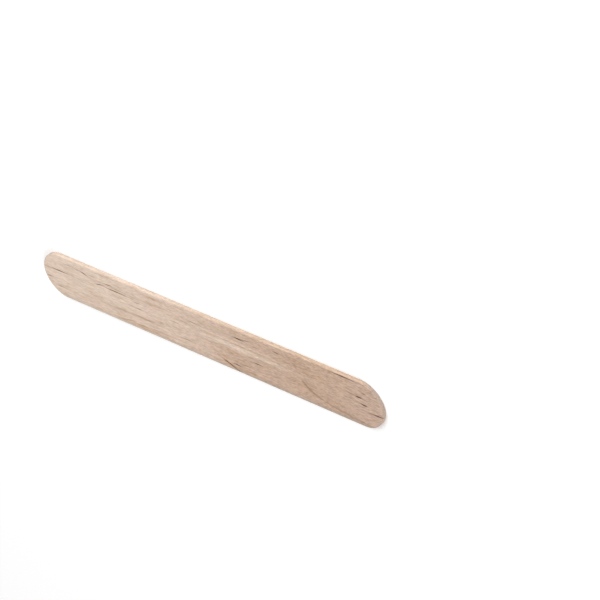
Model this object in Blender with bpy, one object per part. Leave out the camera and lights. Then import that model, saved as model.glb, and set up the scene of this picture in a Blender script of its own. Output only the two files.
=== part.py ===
"""Wooden tongue depressor: a flat stick of birch veneer with full-round ends.

Metres, +Z up. The stick lies flat, its length along X, its width along Y and
its thickness along Z. The origin is the middle of its underside.
"""
import math

import bmesh
import bpy

# Overall size of the adult stick
LENGTH = 0.150
WIDTH = 0.018
THICKNESS = 0.0016

# Tumbling eases the arris between each broad face and the die-cut edge
ARRIS_RADIUS = 0.00025
ARRIS_SEGMENTS = 4

# Sides of each round end, which is a half circle as wide as the stick
END_SEGMENTS = 72

# Unfinished birch, pale and slightly pink
BIRCH_COLOUR = (0.62, 0.47, 0.37, 1.0)
BIRCH_ROUGHNESS = 0.7

# Edges that turn by more than this stay sharp to the light
SMOOTH_ANGLE = math.radians(35)


def clear_scene():
    for item in list(bpy.data.objects):
        bpy.data.objects.remove(item, do_unlink=True)


def birch_material():
    material = bpy.data.materials.new("birch_veneer")
    material.use_nodes = True
    shader = material.node_tree.nodes["Principled BSDF"]
    shader.inputs["Base Color"].default_value = BIRCH_COLOUR
    shader.inputs["Roughness"].default_value = BIRCH_ROUGHNESS
    shader.inputs["Metallic"].default_value = 0.0
    return material


def stick_outline():
    """The die's outline, anticlockwise: two half circles and the straight sides between them."""
    end_radius = WIDTH / 2
    end_centre = LENGTH / 2 - end_radius
    points = []
    for centre, start in ((end_centre, -math.pi / 2), (-end_centre, math.pi / 2)):
        for step in range(END_SEGMENTS + 1):
            angle = start + math.pi * step / END_SEGMENTS
            points.append((centre + end_radius * math.cos(angle), end_radius * math.sin(angle)))
    return points


def build_stick():
    """Cut the outline through the veneer, then round both of its arrises."""
    form = bmesh.new()
    corners = [form.verts.new((x, y, 0.0)) for x, y in stick_outline()]
    face = form.faces.new(corners)
    cut = bmesh.ops.extrude_face_region(form, geom=[face])
    top_corners = [item for item in cut["geom"] if isinstance(item, bmesh.types.BMVert)]
    bmesh.ops.translate(form, verts=top_corners, vec=(0.0, 0.0, THICKNESS))
    bmesh.ops.recalc_face_normals(form, faces=form.faces)

    mesh = bpy.data.meshes.new("tongue_depressor")
    form.to_mesh(mesh)
    form.free()
    mesh.materials.append(birch_material())

    stick = bpy.data.objects.new("tongue_depressor", mesh)
    bpy.context.scene.collection.objects.link(stick)

    arris = stick.modifiers.new("eased_arris", "BEVEL")
    arris.width = ARRIS_RADIUS
    arris.segments = ARRIS_SEGMENTS
    arris.limit_method = "ANGLE"
    arris.angle_limit = SMOOTH_ANGLE
    mesh.shade_smooth()
    mesh.set_sharp_from_angle(angle=SMOOTH_ANGLE)
    return stick


clear_scene()
build_stick()
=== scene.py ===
import math

import bmesh
import bpy
import numpy as np
from mathutils import Matrix, Vector


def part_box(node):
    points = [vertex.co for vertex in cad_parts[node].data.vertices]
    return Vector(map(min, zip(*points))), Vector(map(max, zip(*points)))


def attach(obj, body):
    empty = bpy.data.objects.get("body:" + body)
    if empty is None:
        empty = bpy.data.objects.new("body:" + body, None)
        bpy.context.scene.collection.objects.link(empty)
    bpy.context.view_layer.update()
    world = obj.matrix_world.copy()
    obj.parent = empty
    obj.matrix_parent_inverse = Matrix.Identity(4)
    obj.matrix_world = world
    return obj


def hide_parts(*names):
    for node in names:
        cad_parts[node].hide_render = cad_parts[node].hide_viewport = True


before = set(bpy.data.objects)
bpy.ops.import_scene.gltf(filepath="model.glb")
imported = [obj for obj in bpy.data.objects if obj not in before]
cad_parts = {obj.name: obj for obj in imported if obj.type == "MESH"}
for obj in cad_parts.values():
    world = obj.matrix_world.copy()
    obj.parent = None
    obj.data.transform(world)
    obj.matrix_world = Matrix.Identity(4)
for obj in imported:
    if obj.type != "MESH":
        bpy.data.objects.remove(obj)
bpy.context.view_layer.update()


# The blank. A steel die stamps the stick out of rotary-cut birch veneer, with straight sides and
# full-round ends, and tumbling in a drum then eases both arrises. Its skin is laid in rings,
# from the middle line of the upper face out over the edge and back along the underside.
MM = 0.001
low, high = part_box("tongue_depressor")
LENGTH, WIDTH, THICKNESS = (high - low) / MM
END_RADIUS = WIDTH / 2
ARRIS_RADIUS = 0.25
SIDE_STEPS = 264
END_STEPS = 72
UPPER_RINGS = 72
UNDER_RINGS = 40
ARRIS_RINGS = 4
EDGE_RINGS = 6


def half_section(rings):
    """Rows of reach, height above mid thickness, and how far the surface faces out and up."""
    flat = END_RADIUS - ARRIS_RADIUS
    rise = THICKNESS / 2 - ARRIS_RADIUS
    reaches = np.linspace(0, flat, rings, endpoint=False)
    rows = [(reach, THICKNESS / 2, 0.0, 1.0) for reach in reaches]
    for turn in np.linspace(0, math.pi / 2, ARRIS_RINGS, endpoint=False):
        out, up = math.sin(turn), math.cos(turn)
        rows.append((flat + ARRIS_RADIUS * out, rise + ARRIS_RADIUS * up, out, up))
    heights = np.linspace(rise, 0, EDGE_RINGS // 2, endpoint=False)
    rows += [(END_RADIUS, height, 1.0, 0.0) for height in heights]
    return np.array(rows)


def whole_section():
    """The same rows for the whole thickness, with heights from the underside up."""
    upper = half_section(UPPER_RINGS)
    under = half_section(UNDER_RINGS)[::-1] * (1, -1, 1, -1)
    middle = [(END_RADIUS, 0.0, 1.0, 0.0)]
    return np.concatenate([upper, middle, under]) + (0, THICKNESS / 2, 0, 0)


def perimeter():
    """Points of the middle line, and the way out from each, once round the stick."""
    half = LENGTH / 2 - END_RADIUS
    side = np.linspace(-half, half, SIDE_STEPS, endpoint=False)
    turn = np.linspace(-math.pi / 2, math.pi / 2, END_STEPS, endpoint=False)
    beside = np.stack([side, 0 * side], 1)
    end_centre = np.stack([0 * turn + half, 0 * turn], 1)
    base = np.concatenate([beside, end_centre])
    sideways = np.stack([0 * side, 0 * side - 1], 1)
    round_end = np.stack([np.cos(turn), np.sin(turn)], 1)
    out = np.concatenate([sideways, round_end])
    return np.concatenate([base, -base]), np.concatenate([out, -out])


# The veneer. Peeling opens the birch's pores, which show as short dark dashes along the grain,
# and the die pulls the face down a little where it cuts. Places are millimetres along from the
# left end and across from the lower edge, and a slope is the rise across for each one along.
PORES_ABOVE = [
    # along, across, length, width, darkness, slope
    (7.9, 11.1, 6.5, 0.33, 1.65, 0.0),
    (3.6, 10.8, 4.8, 0.35, 0.25, 0.03),
    (2.2, 7.0, 3.5, 0.40, 0.85, 0.04),
    (6.8, 4.1, 4.8, 0.33, 0.70, 0.03),
    (13.3, 15.3, 3.5, 0.34, 0.55, 0.04),
    (17.7, 15.1, 4.0, 0.32, 0.45, -0.06),
    (20.4, 14.5, 3.0, 0.38, 1.35, -0.28),
    (24.5, 14.8, 3.5, 0.30, 0.60, 0.0),
    (27.3, 12.5, 4.0, 0.32, 1.10, 0.2),
    (34.9, 12.4, 10.8, 0.32, 1.20, -0.01),
    (31.7, 14.0, 3.8, 0.30, 1.20, 0.05),
    (36.0, 13.5, 7.5, 0.35, 0.40, -0.03),
    (39.2, 12.7, 3.8, 0.30, 0.12, 0.12),
    (45.0, 9.0, 2.5, 0.32, 0.95, 0.0),
    (42.1, 9.1, 5.2, 0.30, 0.50, -0.02),
    (45.0, 5.9, 3.4, 0.45, 0.20, 0.0),
    (48.4, 5.5, 3.4, 0.42, 0.28, 0.06),
    (44.4, 11.3, 3.0, 0.36, 0.75, 0.05),
    (50.9, 7.8, 3.0, 0.26, 0.25, 0.05),
    (61.5, 10.1, 3.2, 0.30, 0.50, 0.0),
    (66.1, 4.6, 4.5, 0.30, 0.60, 0.02),
    (70.4, 13.3, 5.5, 0.32, 0.75, -0.02),
    (77.5, 8.1, 3.5, 0.30, 0.55, 0.03),
    (90.5, 14.6, 3.8, 0.46, 1.55, -0.02),
    (94.0, 15.2, 4.0, 0.32, 0.85, 0.1),
    (107.2, 15.6, 3.2, 0.40, 0.90, -0.03),
    (104.2, 15.4, 2.5, 0.28, 0.22, 0.0),
    (97.3, 7.1, 3.2, 0.41, 1.10, 0.03),
    (94.6, 7.0, 3.2, 0.28, 0.40, 0.0),
    (94.8, 8.5, 2.2, 0.32, 0.60, 0.0),
    (102.4, 9.2, 7.5, 0.28, 0.26, 0.02),
    (92.1, 4.2, 7.0, 0.30, 0.60, 0.03),
    (87.9, 2.9, 3.2, 0.40, 1.15, 0.0),
    (83.4, 2.4, 3.0, 0.37, 1.10, -0.20),
    (85.8, 1.5, 4.0, 0.40, 1.60, -0.48),
    (88.1, 0.6, 3.2, 0.37, 1.10, -0.30),
    (140.7, 11.6, 2.4, 0.48, 1.65, 0.0),
    (137.7, 11.8, 5.8, 0.30, 0.50, -0.02),
    (142.4, 9.1, 2.8, 0.46, 1.50, -0.05),
    (139.5, 9.4, 3.2, 0.30, 0.40, -0.1),
    (147.8, 6.8, 4.8, 0.44, 1.50, 0.02),
    (143.8, 6.8, 5.0, 0.28, 0.15, -0.02),
    (143.0, 13.9, 2.0, 0.37, 0.90, -0.25),
    (145.0, 13.1, 1.8, 0.30, 0.35, -0.3),
    (145.3, 15.3, 2.0, 0.34, 0.55, 0.0),
    (134.7, 17.5, 9.2, 0.34, 1.50, 0.0),
]
UNDER_PORES = 24
UNDER_PORE_RANGES = [
    # least and most of along, across, length, width, darkness and slope
    (3, LENGTH - 3),
    (1.5, WIDTH - 1.5),
    (1.6, 6.0),
    (0.28, 0.40),
    (0.3, 1.2),
    (-0.06, 0.06),
]
UNDER_SEED = 11
PORE_DEPTH = 0.06
ROLL_WIDTH = 1.3
ROLL_DEPTH = 0.055

# depths, sizes and seeds of the sheet's long waves and fine furrows, of the lines that the die
# leaves along the sides, of the torn fibre round the ends, and of the wear of the arris
WAVE_DEPTH, WAVE_LENGTH, WAVE_WIDTH = 0.018, 19, 6
FURROW_DEPTH, FURROW_LENGTH, FURROW_WIDTH = 0.012, 7, 0.55
UPPER_WAVES, UNDER_WAVES = 21, 25
LINE_DEPTH, LINE_LENGTH, LINE_PITCH, LINE_SEED = 0.022, 8, 0.28, 31
TORN_DEPTH, TORN_WIDTH, TORN_HEIGHT, TORN_SEED = 0.045, 0.4, 0.5, 32
WEAR_DEPTH, WEAR_LENGTH, WEAR_LEAN, WEAR_SEED = 0.05, 5, 3, 33
LATTICE = 128

chance = np.random.default_rng(UNDER_SEED)


def chance_marks(count, ranges):
    """Marks of the underside, which is out of sight, at the sizes of the face's."""
    return [tuple(chance.uniform(*span) for span in ranges) for _ in range(count)]


PORES_UNDER = chance_marks(UNDER_PORES, UNDER_PORE_RANGES)


def mark(along, across, place, side, length, width, strength, slope):
    """The strength in a long pointed mark, 0 away from it, of numbers or a finish's sockets."""
    run = along - place
    off = (across - side - run * slope) / (width / 2)
    spread = abs(run / (length / 2)) + off * off
    return strength / (1 + spread ** 3)


def lattice_noise(seed, first, second):
    """Smooth noise from 0 to 1, with one bump to each unit."""
    table = np.random.default_rng(seed).random((LATTICE, LATTICE))
    i, j = np.floor(first).astype(int), np.floor(second).astype(int)
    u, v = first - i, second - j
    u, v = u * u * (3 - 2 * u), v * v * (3 - 2 * v)
    i, next_i = i % LATTICE, (i + 1) % LATTICE
    j, next_j = j % LATTICE, (j + 1) % LATTICE
    this_row = table[i, j] * (1 - u) + table[next_i, j] * u
    next_row = table[i, next_j] * (1 - u) + table[next_i, next_j] * u
    return this_row * (1 - v) + next_row * v


def face_depth(along, across, reach, pores, seed):
    """How far a face lies under the flat, by the die's roll, the sheet's waves and the pores."""
    near_cut = np.clip(1 - (END_RADIUS - reach) / ROLL_WIDTH, 0, 1)
    depth = ROLL_DEPTH * near_cut ** 2
    depth = depth + WAVE_DEPTH * lattice_noise(seed, along / WAVE_LENGTH, across / WAVE_WIDTH)
    furrows = lattice_noise(seed + 1, along / FURROW_LENGTH, across / FURROW_WIDTH)
    depth += FURROW_DEPTH * furrows
    for pore in pores:
        depth += PORE_DEPTH * mark(along, across, *pore)
    return depth


def edge_depth(along, across, height, end_grain):
    """The die leaves fine lines along the straight sides and torn fibre ends round the ends."""
    lines = LINE_DEPTH * lattice_noise(LINE_SEED, along / LINE_LENGTH, height / LINE_PITCH)
    torn = TORN_DEPTH * lattice_noise(TORN_SEED, across / TORN_WIDTH, height / TORN_HEIGHT)
    return lines * (1 - end_grain) + torn * end_grain


def arris_wear(along, across, height):
    """Tumbling takes a little more off the arris in some places than in others."""
    leaning = along / WEAR_LENGTH + height * WEAR_LEAN
    return WEAR_DEPTH * lattice_noise(WEAR_SEED, leaning, across / WEAR_LENGTH) ** 2


def veneer_skin():
    """The skin's points in metres, ring by ring and round each ring."""
    section = whole_section()
    base, out = perimeter()
    reach, height, facing_out, facing_up = (section[:, k][:, None] for k in range(4))
    x = base[:, 0] + out[:, 0] * reach
    y = base[:, 1] + out[:, 1] * reach
    z = height + 0 * x
    along = x + LENGTH / 2
    across = y + WIDTH / 2
    end_grain = out[:, 0] ** 2 + 0 * x
    upper = face_depth(along, across, reach, PORES_ABOVE, UPPER_WAVES)
    under = face_depth(along, across, reach, PORES_UNDER, UNDER_WAVES)
    depth = np.where(facing_up > 0, upper, under) * facing_up ** 2
    depth += edge_depth(along, across, z, end_grain) * facing_out ** 2
    # twice the product of both facings is 1 at the middle of the arris
    depth += arris_wear(along, across, z) * 2 * facing_out * np.abs(facing_up)
    x = x - out[:, 0] * facing_out * depth
    y = y - out[:, 1] * facing_out * depth
    z = z - facing_up * depth
    return np.stack([x, y, z], 2) * MM


MAP_MARGIN = 0.01
MAP_LENGTH = 0.98
FACE_HEIGHT = 0.44
UNDERSIDE_START = 0.47
EDGE_START = 0.925
EDGE_PITCH = 0.038
EDGE_HEIGHT = 0.03


def skin_map(skin):
    """Where each corner of the quads lies on a flat picture of the skin, for baking.

    The upper face and the underside lie one above the other, stretched across the grain, and
    the edge lies over them in two strips, one for each half of the way round.
    """
    rings, steps = skin.shape[:2]
    ring, step = np.meshgrid(np.arange(rings - 1), np.arange(steps), indexing="ij")
    corner_ring = np.stack([ring, ring + 1, ring + 1, ring], 2)
    corner_step = np.stack([step, step, step + 1, step + 1], 2)
    place = skin[corner_ring, corner_step % steps] / MM
    u = MAP_MARGIN + MAP_LENGTH * (place[..., 0] / LENGTH + 0.5)
    v = FACE_HEIGHT * (place[..., 1] / WIDTH + 0.5)
    v = np.where(ring[..., None] < UPPER_RINGS, v + MAP_MARGIN, v + UNDERSIDE_START)
    half_way = (step // (steps // 2))[..., None]
    edge_u = MAP_MARGIN + MAP_LENGTH * (corner_step / (steps / 2) - half_way)
    edge_rings = rings - 1 - UPPER_RINGS - UNDER_RINGS
    edge_v = EDGE_START + EDGE_PITCH * half_way
    edge_v = edge_v + EDGE_HEIGHT * (corner_ring - UPPER_RINGS) / edge_rings
    on_edge = (ring >= UPPER_RINGS) & (ring < UPPER_RINGS + edge_rings)
    u = np.where(on_edge[..., None], edge_u, u)
    v = np.where(on_edge[..., None], edge_v, v)
    return np.stack([u, v], 3).ravel()


SAME_POINT = 1e-7


def stick_mesh():
    """Quads over the skin, closed along the middle lines of both faces."""
    skin = veneer_skin()
    rings, steps = skin.shape[:2]
    number = np.arange(rings * steps).reshape(rings, steps)
    following = np.roll(number, -1, axis=1)
    quads = np.stack([number[:-1], number[1:], following[1:], following[:-1]], 2).reshape(-1, 4)
    mesh = bpy.data.meshes.new("birch_stick")
    mesh.from_pydata(skin.reshape(-1, 3).tolist(), [], quads.tolist())
    mesh.uv_layers.new(name="OFBake").data.foreach_set("uv", skin_map(skin))
    form = bmesh.new()
    form.from_mesh(mesh)
    bmesh.ops.remove_doubles(form, verts=form.verts, dist=SAME_POINT)
    bmesh.ops.recalc_face_normals(form, faces=form.faces)
    form.to_mesh(mesh)
    form.free()
    mesh.shade_smooth()
    return mesh


stick = bpy.data.objects.new("birch_stick", stick_mesh())
bpy.context.scene.collection.objects.link(stick)
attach(stick, "root")
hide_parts("tongue_depressor")


# The finish. The wood is bare, pale at the left and tanner to the right. Growth rings cut nearly
# flat leave ochre and pale streaks and two thin brown lines, and fine fibre runs all along. The
# ends show greyer end grain, and painted shade greys the lower edge and the face beside it.
PALE_BIRCH = (0.737, 0.593, 0.483, 1)
TAN_BIRCH = (0.540, 0.385, 0.287, 1)
RING_BROWN = (0.18, 0.10, 0.05, 1)
STREAK_OCHRE = (0.375, 0.175, 0.055, 1)
PINK_CAST = (1.03, 0.975, 1.00, 1)
ROSE_CAST = (1.0, 1.01, 1.055, 1)
PORE_BROWN = (0.10, 0.043, 0.016, 1)
# the grey of the end grain, which is also graded up each end as painted light and shade
END_GREY_AND_SHADE = (0.39, 0.308, 0.257, 1)
EDGE_CREAM = (1.0, 1.01, 0.955, 1)
# the grey of the painted shade along the lower edge
LOWER_SHADE_GREY = (0.36, 0.31, 0.27, 1)

BROWN_STREAKS = [
    # along, across, length, width, strength, slope
    (12.0, 11.3, 8.5, 0.9, 0.08, -0.08),
    (33.0, 13.2, 29.0, 1.7, 0.14, -0.02),
    (27.0, 3.6, 41.0, 7.0, 0.11, 0.0),
    (33.5, 4.1, 9.0, 0.6, 0.14, -0.33),
    (36.0, 1.5, 6.0, 0.7, 0.44, 0.12),
    (39.4, 2.2, 4.8, 0.6, 0.58, 0.14),
    (40.5, 1.1, 9.0, 0.9, 0.36, 0.0),
    (44.8, 2.0, 7.0, 1.0, 0.52, 0.05),
    (50.0, 1.8, 8.0, 0.8, 0.34, 0.0),
    (54.0, 2.6, 14.5, 0.8, 0.36, 0.03),
    (49.0, 1.1, 17.0, 0.5, 0.46, 0.0),
    (46.4, 5.7, 11.0, 0.9, 0.32, -0.05),
    (38.0, 4.1, 17.0, 0.4, 0.22, 0.0),
    (53.0, 6.9, 9.5, 0.9, 0.12, 0.18),
    (50.0, 3.9, 17.0, 0.5, 0.10, 0.0),
    (53.0, 16.2, 14.5, 1.1, 0.26, -0.02),
    (51.2, 16.0, 3.6, 0.7, 0.42, 0.10),
    (52.0, 13.5, 13.0, 1.3, 0.32, 0.0),
    (89.5, 11.6, 12.0, 0.5, 0.40, 0.0),
    (86.0, 7.4, 14.5, 2.2, 0.26, -0.02),
    (88.0, 4.6, 17.0, 2.0, 0.28, 0.0),
    (89.0, 1.8, 19.0, 1.8, 0.33, 0.0),
    (99.0, 3.2, 12.0, 0.6, 0.16, 0.0),
    (84.8, 1.9, 7.0, 0.9, 0.80, -0.42),
    (96.0, 13.6, 21.5, 0.8, 0.06, 0.0),
    (115.0, 13.8, 3.0, 4.0, 0.16, 0.0),
    (119.5, 11.8, 8.0, 0.9, 0.36, 0.0),
    (116.0, 10.5, 17.0, 12.0, 0.10, 0.0),
    (128.0, 4.4, 14.5, 1.8, 0.08, -0.05),
    (138.0, 1.3, 29.0, 1.4, 0.12, -0.03),
]
PALE_STREAKS = [
    (91.0, 12.4, 31.0, 0.8, 0.60, 0.0),
    (92.0, 10.3, 43.0, 2.1, 0.84, -0.01),
    (96.0, 10.0, 31.0, 0.4, 0.72, -0.01),
    (105.0, 11.4, 14.5, 1.6, 0.36, -0.02),
    (14.0, 16.8, 24.0, 1.6, 0.30, 0.0),
    (22.0, 9.6, 31.0, 2.6, 0.12, 0.0),
    (8.0, 7.6, 12.0, 3.0, 0.25, 0.0),
]
UNDER_STREAKS = 10
UNDER_STREAK_RANGES = [
    # least and most of along, across, length, width, strength and slope
    (0, LENGTH),
    (0.5, WIDTH - 0.5),
    (8, 30),
    (0.5, 2.0),
    (0.1, 0.35),
    (-0.04, 0.04),
]
STREAKS_UNDER = chance_marks(UNDER_STREAKS, UNDER_STREAK_RANGES)

# length and width in millimetres of one bump of each kind of figure in the wood
WANDER_SIZE = (40, 14)
FIBRE_SIZE = (12, 0.40)
HAIR_SIZE = (2.6, 0.22)
SPECKLE_SIZE = (1.5, 0.30)
CLOUD_SIZE = (7, 2.6)
TINT_SIZE = (6, 1.1)
FINE_PORE_SIZE = (1.7, 0.20)
WANDER = 1.6

# where each part of the finish starts and where it is full: by how far the surface has turned,
# by height, by the strength of the figure, and by millimetres across or along
EDGE_TURN = (0.3, 0.8)
END_TURN = (0.05, 0.65)
MID_HEIGHT = (THICKNESS * 0.4, THICKNESS * 0.6)
PINK_TINT = (0.5, 0.75)
FINE_PORE_CUT = (0.66, 0.80)
LOWER_SHADE_REACH = (0.1, 2.6)
# the ends grey more from 4 to 10 mm across, painted light leaving their lower parts paler
END_SHADE_REACH = (4, 10)
TAN_REACH = (25, 128)
TAN_SPREAD = 24
ROSE_REACH = (128, 144)

# how far each part covers the wood's own colour, and what it adds
EDGE_PALER = 0.1
OCHRE_COVER = 0.9
FALLING_RING_COVER = 0.50
WAVY_RING_COVER = 0.21
FINE_PORE_COVER = 0.25
PORE_COVER = 0.85
END_GREY_LEAST, END_SHADE_MORE = 0.2, 0.5
LOWER_SHADE_LEAST, LOWER_SHADE_MORE = 0.24, 0.18
FIBRE_TONE, HAIR_TONE, CLOUD_TONE = 0.40, 0.56, 0.10
SPECKLE_LEAST, SPECKLE_MORE = 0.46, 0.55
EDGE_LEAST, EDGE_MORE = 0.02, 0.11
ROUGHNESS, FIBRE_ROUGHNESS, PORE_ROUGHNESS = 0.66, 0.15, 0.2
FIBRE_RELIEF, HAIR_RELIEF, SPECKLE_RELIEF = 0.5, 0.4, 0.3
BUMP_STRENGTH = 0.35
BUMP_DISTANCE = 0.00004
SPECULAR = 0.35


class Wire:
    """A socket of a material. Arithmetic adds Math nodes, and node() adds any other node."""

    def __init__(self, tree, socket=None):
        self.tree = tree
        self.socket = socket

    def node(self, kind, settings=None, inputs=None, output=0):
        made = self.tree.nodes.new(kind)
        for name, value in (settings or {}).items():
            setattr(made, name, value)
        for name, value in (inputs or {}).items():
            if isinstance(value, Wire):
                self.tree.links.new(value.socket, made.inputs[name])
            else:
                made.inputs[name].default_value = value
        return Wire(self.tree, made.outputs[output])

    def math(self, operation, *values):
        return self.node("ShaderNodeMath", {"operation": operation}, dict(enumerate(values)))

    def __add__(self, other):
        return self.math("ADD", self, other)

    def __radd__(self, other):
        return self.math("ADD", other, self)

    def __sub__(self, other):
        return self.math("SUBTRACT", self, other)

    def __rsub__(self, other):
        return self.math("SUBTRACT", other, self)

    def __mul__(self, other):
        return self.math("MULTIPLY", self, other)

    def __rmul__(self, other):
        return self.math("MULTIPLY", other, self)

    def __truediv__(self, other):
        return self.math("DIVIDE", self, other)

    def __rtruediv__(self, other):
        return self.math("DIVIDE", other, self)

    def __pow__(self, other):
        return self.math("POWER", self, other)

    def __abs__(self):
        return self.math("ABSOLUTE", self)

    def larger(self, other):
        return self.math("MAXIMUM", self, other)

    def smooth(self, low, high):
        """0 below low, 1 above high and smooth between them."""
        settings = {"interpolation_type": "SMOOTHSTEP"}
        inputs = {"Value": self, "From Min": low, "From Max": high}
        return self.node("ShaderNodeMapRange", settings, inputs)

    def noise(self, x, y, z, detail=2.0):
        """Noise from 0 to 1, with one bump to each unit of x, y and z."""
        place = self.node("ShaderNodeCombineXYZ", None, {"X": x, "Y": y, "Z": z})
        inputs = {"Vector": place, "Scale": 1.0, "Detail": detail}
        return self.node("ShaderNodeTexNoise", None, inputs)

    def mix(self, first, second, blend="MIX"):
        """The first colour where this is 0 and the second where it is 1."""
        settings = {"data_type": "RGBA", "blend_type": blend}
        # a Mix node takes its colours at sockets 6 and 7 and gives its colour at output 2
        return self.node("ShaderNodeMix", settings, {0: self, 6: first, 7: second}, output=2)

    def cast(self, colour, tint):
        """The colour where this is 0 and the colour times a tint where it is 1."""
        return self.mix(colour, tint, "MULTIPLY")

    def scale(self, amount):
        """A colour made lighter or darker."""
        settings = {"operation": "SCALE"}
        return self.node("ShaderNodeVectorMath", settings, {0: self, "Scale": amount})


def falling_ring(along, across):
    """The edge of a ring that comes to a nose and falls away towards the lower edge.

    Its first millimetres are faint, and the steep part after them is wider and darker.
    """
    nose, top, fall, reach = 115.2, 11.0, 11.5, 5.5
    faint, steep_part = (0, 3.9), (5, 10)
    core, half_width, wider = 0.05, 0.5, 0.3
    least, darker = 0.72, 0.42
    run = (along - nose).larger(0)
    drop = run / (run + reach) * fall
    slope = fall * reach / ((run + reach) * (run + reach))
    off = (across - top + drop) / (slope * slope + 1) ** 0.5
    steep = 1 - run.smooth(*steep_part)
    line = 1 - abs(off).smooth(core, steep * wider + half_width)
    return line * run.smooth(*faint) * (steep * darker + least)


def wavy_ring(along, across):
    """A fainter ring edge at the left, which falls across the face and climbs again."""
    top, fall, first_climb, last_climb = 11.5, 6.4, 0.45, 2.2
    falling, climbing, climbing_again = (8, 30), (31, 40), (46, 62)
    core, half_width = 0.1, 0.7
    coming, going = (9, 38), (50, 68)
    climb = along.smooth(*climbing) * first_climb + along.smooth(*climbing_again) * last_climb
    middle = top - along.smooth(*falling) * fall + climb
    line = 1 - abs(across - middle).smooth(core, half_width)
    return line * along.smooth(*coming) * (1 - along.smooth(*going))


def strongest(marks, along, across):
    """The strongest of a list of marks at each place."""
    found = mark(along, across, *marks[0])
    for other in marks[1:]:
        found = found.larger(mark(along, across, *other))
    return found


def birch_finish():
    material = bpy.data.materials.new("birch_veneer_finish")
    material.use_nodes = True
    tree = material.node_tree
    shader = tree.nodes["Principled BSDF"]
    birch = Wire(tree)
    place = birch.node("ShaderNodeTexCoord", output="Object")
    x, y, z = (place.node("ShaderNodeSeparateXYZ", None, {0: place}, axis) for axis in "XYZ")
    along = x / MM + LENGTH / 2
    across = y / MM + WIDTH / 2
    height = z / MM
    facing = birch.node("ShaderNodeNewGeometry", output="Normal")
    out_x, out_z = (birch.node("ShaderNodeSeparateXYZ", None, {0: facing}, axis) for axis in "XZ")
    on_edge = 1 - abs(out_z).smooth(*EDGE_TURN)
    end_grain = abs(out_x).smooth(*END_TURN)
    above = height.smooth(*MID_HEIGHT)
    # painted shade, full at the lower edge and gone 2.6 mm in
    lower_shade = 1 - across.smooth(*LOWER_SHADE_REACH)

    def figure(side, size, detail=2.0):
        """Noise with bumps of one size, drawn out along the grain."""
        length, width = size
        return birch.noise(along / length, side / width, height / width, detail)

    # the grain wanders a little, so all of the fine figure follows a slow bend
    wander = figure(across, WANDER_SIZE, detail=1.0)
    grain = across + wander * WANDER
    fibre = figure(grain, FIBRE_SIZE)
    hair = figure(grain, HAIR_SIZE)
    speckle = figure(grain, SPECKLE_SIZE, detail=1.0)
    cloud = figure(across, CLOUD_SIZE)
    tint = figure(grain, TINT_SIZE, detail=1.0)
    fine_pores = figure(grain, FINE_PORE_SIZE, detail=1.0).smooth(*FINE_PORE_CUT)

    # from pale to tan, with pale streaks
    drift = (along + (cloud - 0.5) * TAN_SPREAD).smooth(*TAN_REACH) * (1 - on_edge * EDGE_PALER)
    colour = drift.mix(PALE_BIRCH, TAN_BIRCH)
    colour = (strongest(PALE_STREAKS, along, across) * above).mix(colour, PALE_BIRCH)
    colour = tint.smooth(*PINK_TINT).cast(colour, PINK_CAST)
    colour = along.smooth(*ROSE_REACH).cast(colour, ROSE_CAST)

    # ochre streaks and ring lines
    streaks = strongest(BROWN_STREAKS, along, across) * above
    streaks = streaks + strongest(STREAKS_UNDER, along, across) * (1 - above)
    colour = (streaks + (0.5 - tint).larger(0) * OCHRE_COVER).mix(colour, STREAK_OCHRE)
    rings_above = falling_ring(along, across) * FALLING_RING_COVER
    rings_above = rings_above + wavy_ring(along, across) * WAVY_RING_COVER
    rings_below = falling_ring(LENGTH - along, WIDTH - across) * FALLING_RING_COVER
    rings = rings_above * above + rings_below * (1 - above)
    colour = (rings * (fibre + 0.5)).mix(colour, RING_BROWN)

    # pores, the long edge, the ends and painted shade along the lower edge
    pores = strongest(PORES_ABOVE, along, across) * above
    pores = pores + strongest(PORES_UNDER, along, across) * (1 - above)
    pores = pores.larger(fine_pores * FINE_PORE_COVER)
    colour = (pores * PORE_COVER).mix(colour, PORE_BROWN)
    colour = (on_edge * drift).cast(colour, EDGE_CREAM)
    # the end grain's own grey, growing towards the upper side: painted light keeps each end paler
    # low down
    end_grain_and_shade = END_GREY_LEAST + across.smooth(*END_SHADE_REACH) * END_SHADE_MORE
    colour = (end_grain * end_grain_and_shade).mix(colour, END_GREY_AND_SHADE)
    # painted shade greys the lower edge and the faces beside it, more towards the tan right
    colour = (lower_shade * (LOWER_SHADE_LEAST + drift * LOWER_SHADE_MORE)).mix(colour, LOWER_SHADE_GREY)

    # fibre, hair and speckle make the wood lighter and darker
    tone = 1 + (fibre - 0.5) * FIBRE_TONE + (hair - 0.5) * HAIR_TONE
    tone = tone + (cloud - 0.5) * CLOUD_TONE
    tone = tone + (speckle - 0.5) * (SPECKLE_LEAST + drift * SPECKLE_MORE)
    tone = tone + on_edge * (EDGE_LEAST + drift * EDGE_MORE)
    tree.links.new(colour.scale(tone).socket, shader.inputs["Base Color"])

    roughness = ROUGHNESS + (fibre - 0.5) * FIBRE_ROUGHNESS + pores * PORE_ROUGHNESS
    tree.links.new(roughness.socket, shader.inputs["Roughness"])
    relief = fibre * FIBRE_RELIEF + hair * HAIR_RELIEF + speckle * SPECKLE_RELIEF - pores
    grooves = {"Height": relief, "Strength": BUMP_STRENGTH, "Distance": BUMP_DISTANCE}
    bump = birch.node("ShaderNodeBump", None, grooves)
    tree.links.new(bump.socket, shader.inputs["Normal"])
    shader.inputs["Specular IOR Level"].default_value = SPECULAR
    return material


stick.data.materials.append(birch_finish())


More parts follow.
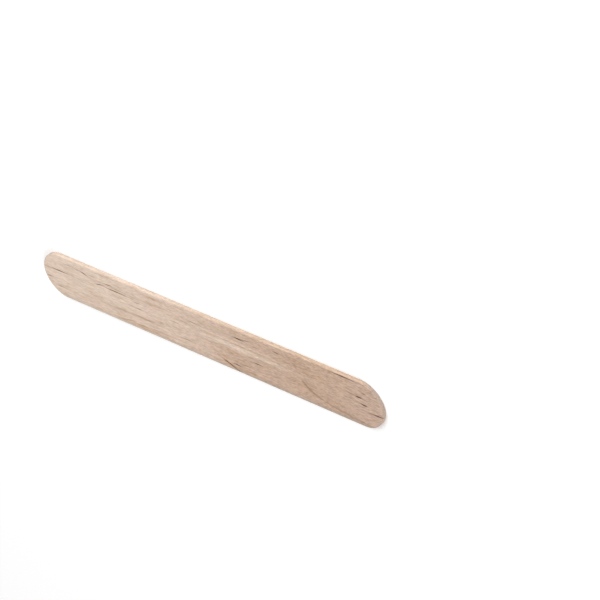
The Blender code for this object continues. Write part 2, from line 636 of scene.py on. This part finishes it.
# The floor is a plain white table top. It is white to the camera even in half light, and it still
# takes the soft shadow that the stick throws.
FLOOR_SIZE = 6.0
FLOOR_GAP = 0.00005
FLOOR_WHITE = (0.88, 0.88, 0.88, 1)
FLOOR_ROUGHNESS = 0.9
CAMERA_GLOW = 0.2
CORNERS = ((-1, -1), (1, -1), (1, 1), (-1, 1))


def floor_finish():
    material = bpy.data.materials.new("white_floor")
    material.use_nodes = True
    tree = material.node_tree
    shader = tree.nodes["Principled BSDF"]
    shader.inputs["Base Color"].default_value = FLOOR_WHITE
    shader.inputs["Roughness"].default_value = FLOOR_ROUGHNESS
    shader.inputs["Specular IOR Level"].default_value = 0.0
    seen = Wire(tree).node("ShaderNodeLightPath", output="Is Camera Ray")
    shader.inputs["Emission Strength"].default_value = 1.0
    tree.links.new((seen * CAMERA_GLOW).socket, shader.inputs["Emission Color"])
    return material


half_floor = FLOOR_SIZE / 2
floor_mesh = bpy.data.meshes.new("floor")
floor_corners = [(x * half_floor, y * half_floor, -FLOOR_GAP) for x, y in CORNERS]
floor_mesh.from_pydata(floor_corners, [], [(0, 1, 2, 3)])
floor_mesh.materials.append(floor_finish())
floor = bpy.data.objects.new("floor", floor_mesh)
bpy.context.scene.collection.objects.link(floor)


# The light is a large softbox on the far side of the stick, which makes its long edge brighter
# than its face, a weaker one beyond the right end, and an even white room for the rest.
SOFTBOX_SIZE = 1.2
SOFTBOXES = [
    # name, place, power
    ("key_softbox", (-0.07, 1.18, 0.89), 18.8),
    ("fill_softbox", (1.25, -0.62, 0.72), 11.0),
]
ROOM_LIGHT = 0.40

for name, place, power in SOFTBOXES:
    lamp = bpy.data.lights.new(name, "AREA")
    lamp.shape = "SQUARE"
    lamp.size = SOFTBOX_SIZE
    lamp.energy = power
    softbox = bpy.data.objects.new(name, lamp)
    softbox.location = place
    softbox.rotation_euler = (-Vector(place)).to_track_quat("-Z", "Y").to_euler()
    bpy.context.scene.collection.objects.link(softbox)

room = bpy.data.worlds.new("room")
room.use_nodes = True
sky = room.node_tree.nodes["Background"]
sky.inputs["Color"].default_value = (1, 1, 1, 1)
rays = Wire(room.node_tree).node("ShaderNodeLightPath", output="Is Camera Ray")
room.node_tree.links.new((rays * (1 - ROOM_LIGHT) + ROOM_LIGHT).socket, sky.inputs["Strength"])
bpy.context.scene.world = room


# The camera looks at the stick as the photograph does, over its right end and its upper edge,
# and it is rolled, because the stick stands on its long side there and lies flat here.
AIM = Vector((0.0476, 0.0337, THICKNESS * MM))
AZIMUTH = math.radians(135.20)
ELEVATION = math.radians(33.16)
ROLL = math.radians(129.39)
DISTANCE = 0.8450
LENS = 165.65
NEAR_CLIP = 0.05

level = math.cos(ELEVATION)
towards = Vector((math.sin(AZIMUTH) * level, -math.cos(AZIMUTH) * level, math.sin(ELEVATION)))
lens = bpy.data.cameras.new("camera")
lens.lens = LENS
lens.clip_start = NEAR_CLIP
camera = bpy.data.objects.new("camera", lens)
upright = (-towards).to_track_quat("-Z", "Y").to_matrix()
camera.rotation_euler = (upright @ Matrix.Rotation(-ROLL, 3, "Z")).to_euler()
camera.location = AIM + towards * DISTANCE
bpy.context.scene.collection.objects.link(camera)
bpy.context.scene.camera = camera
bpy.context.scene.view_settings.view_transform = "Standard"
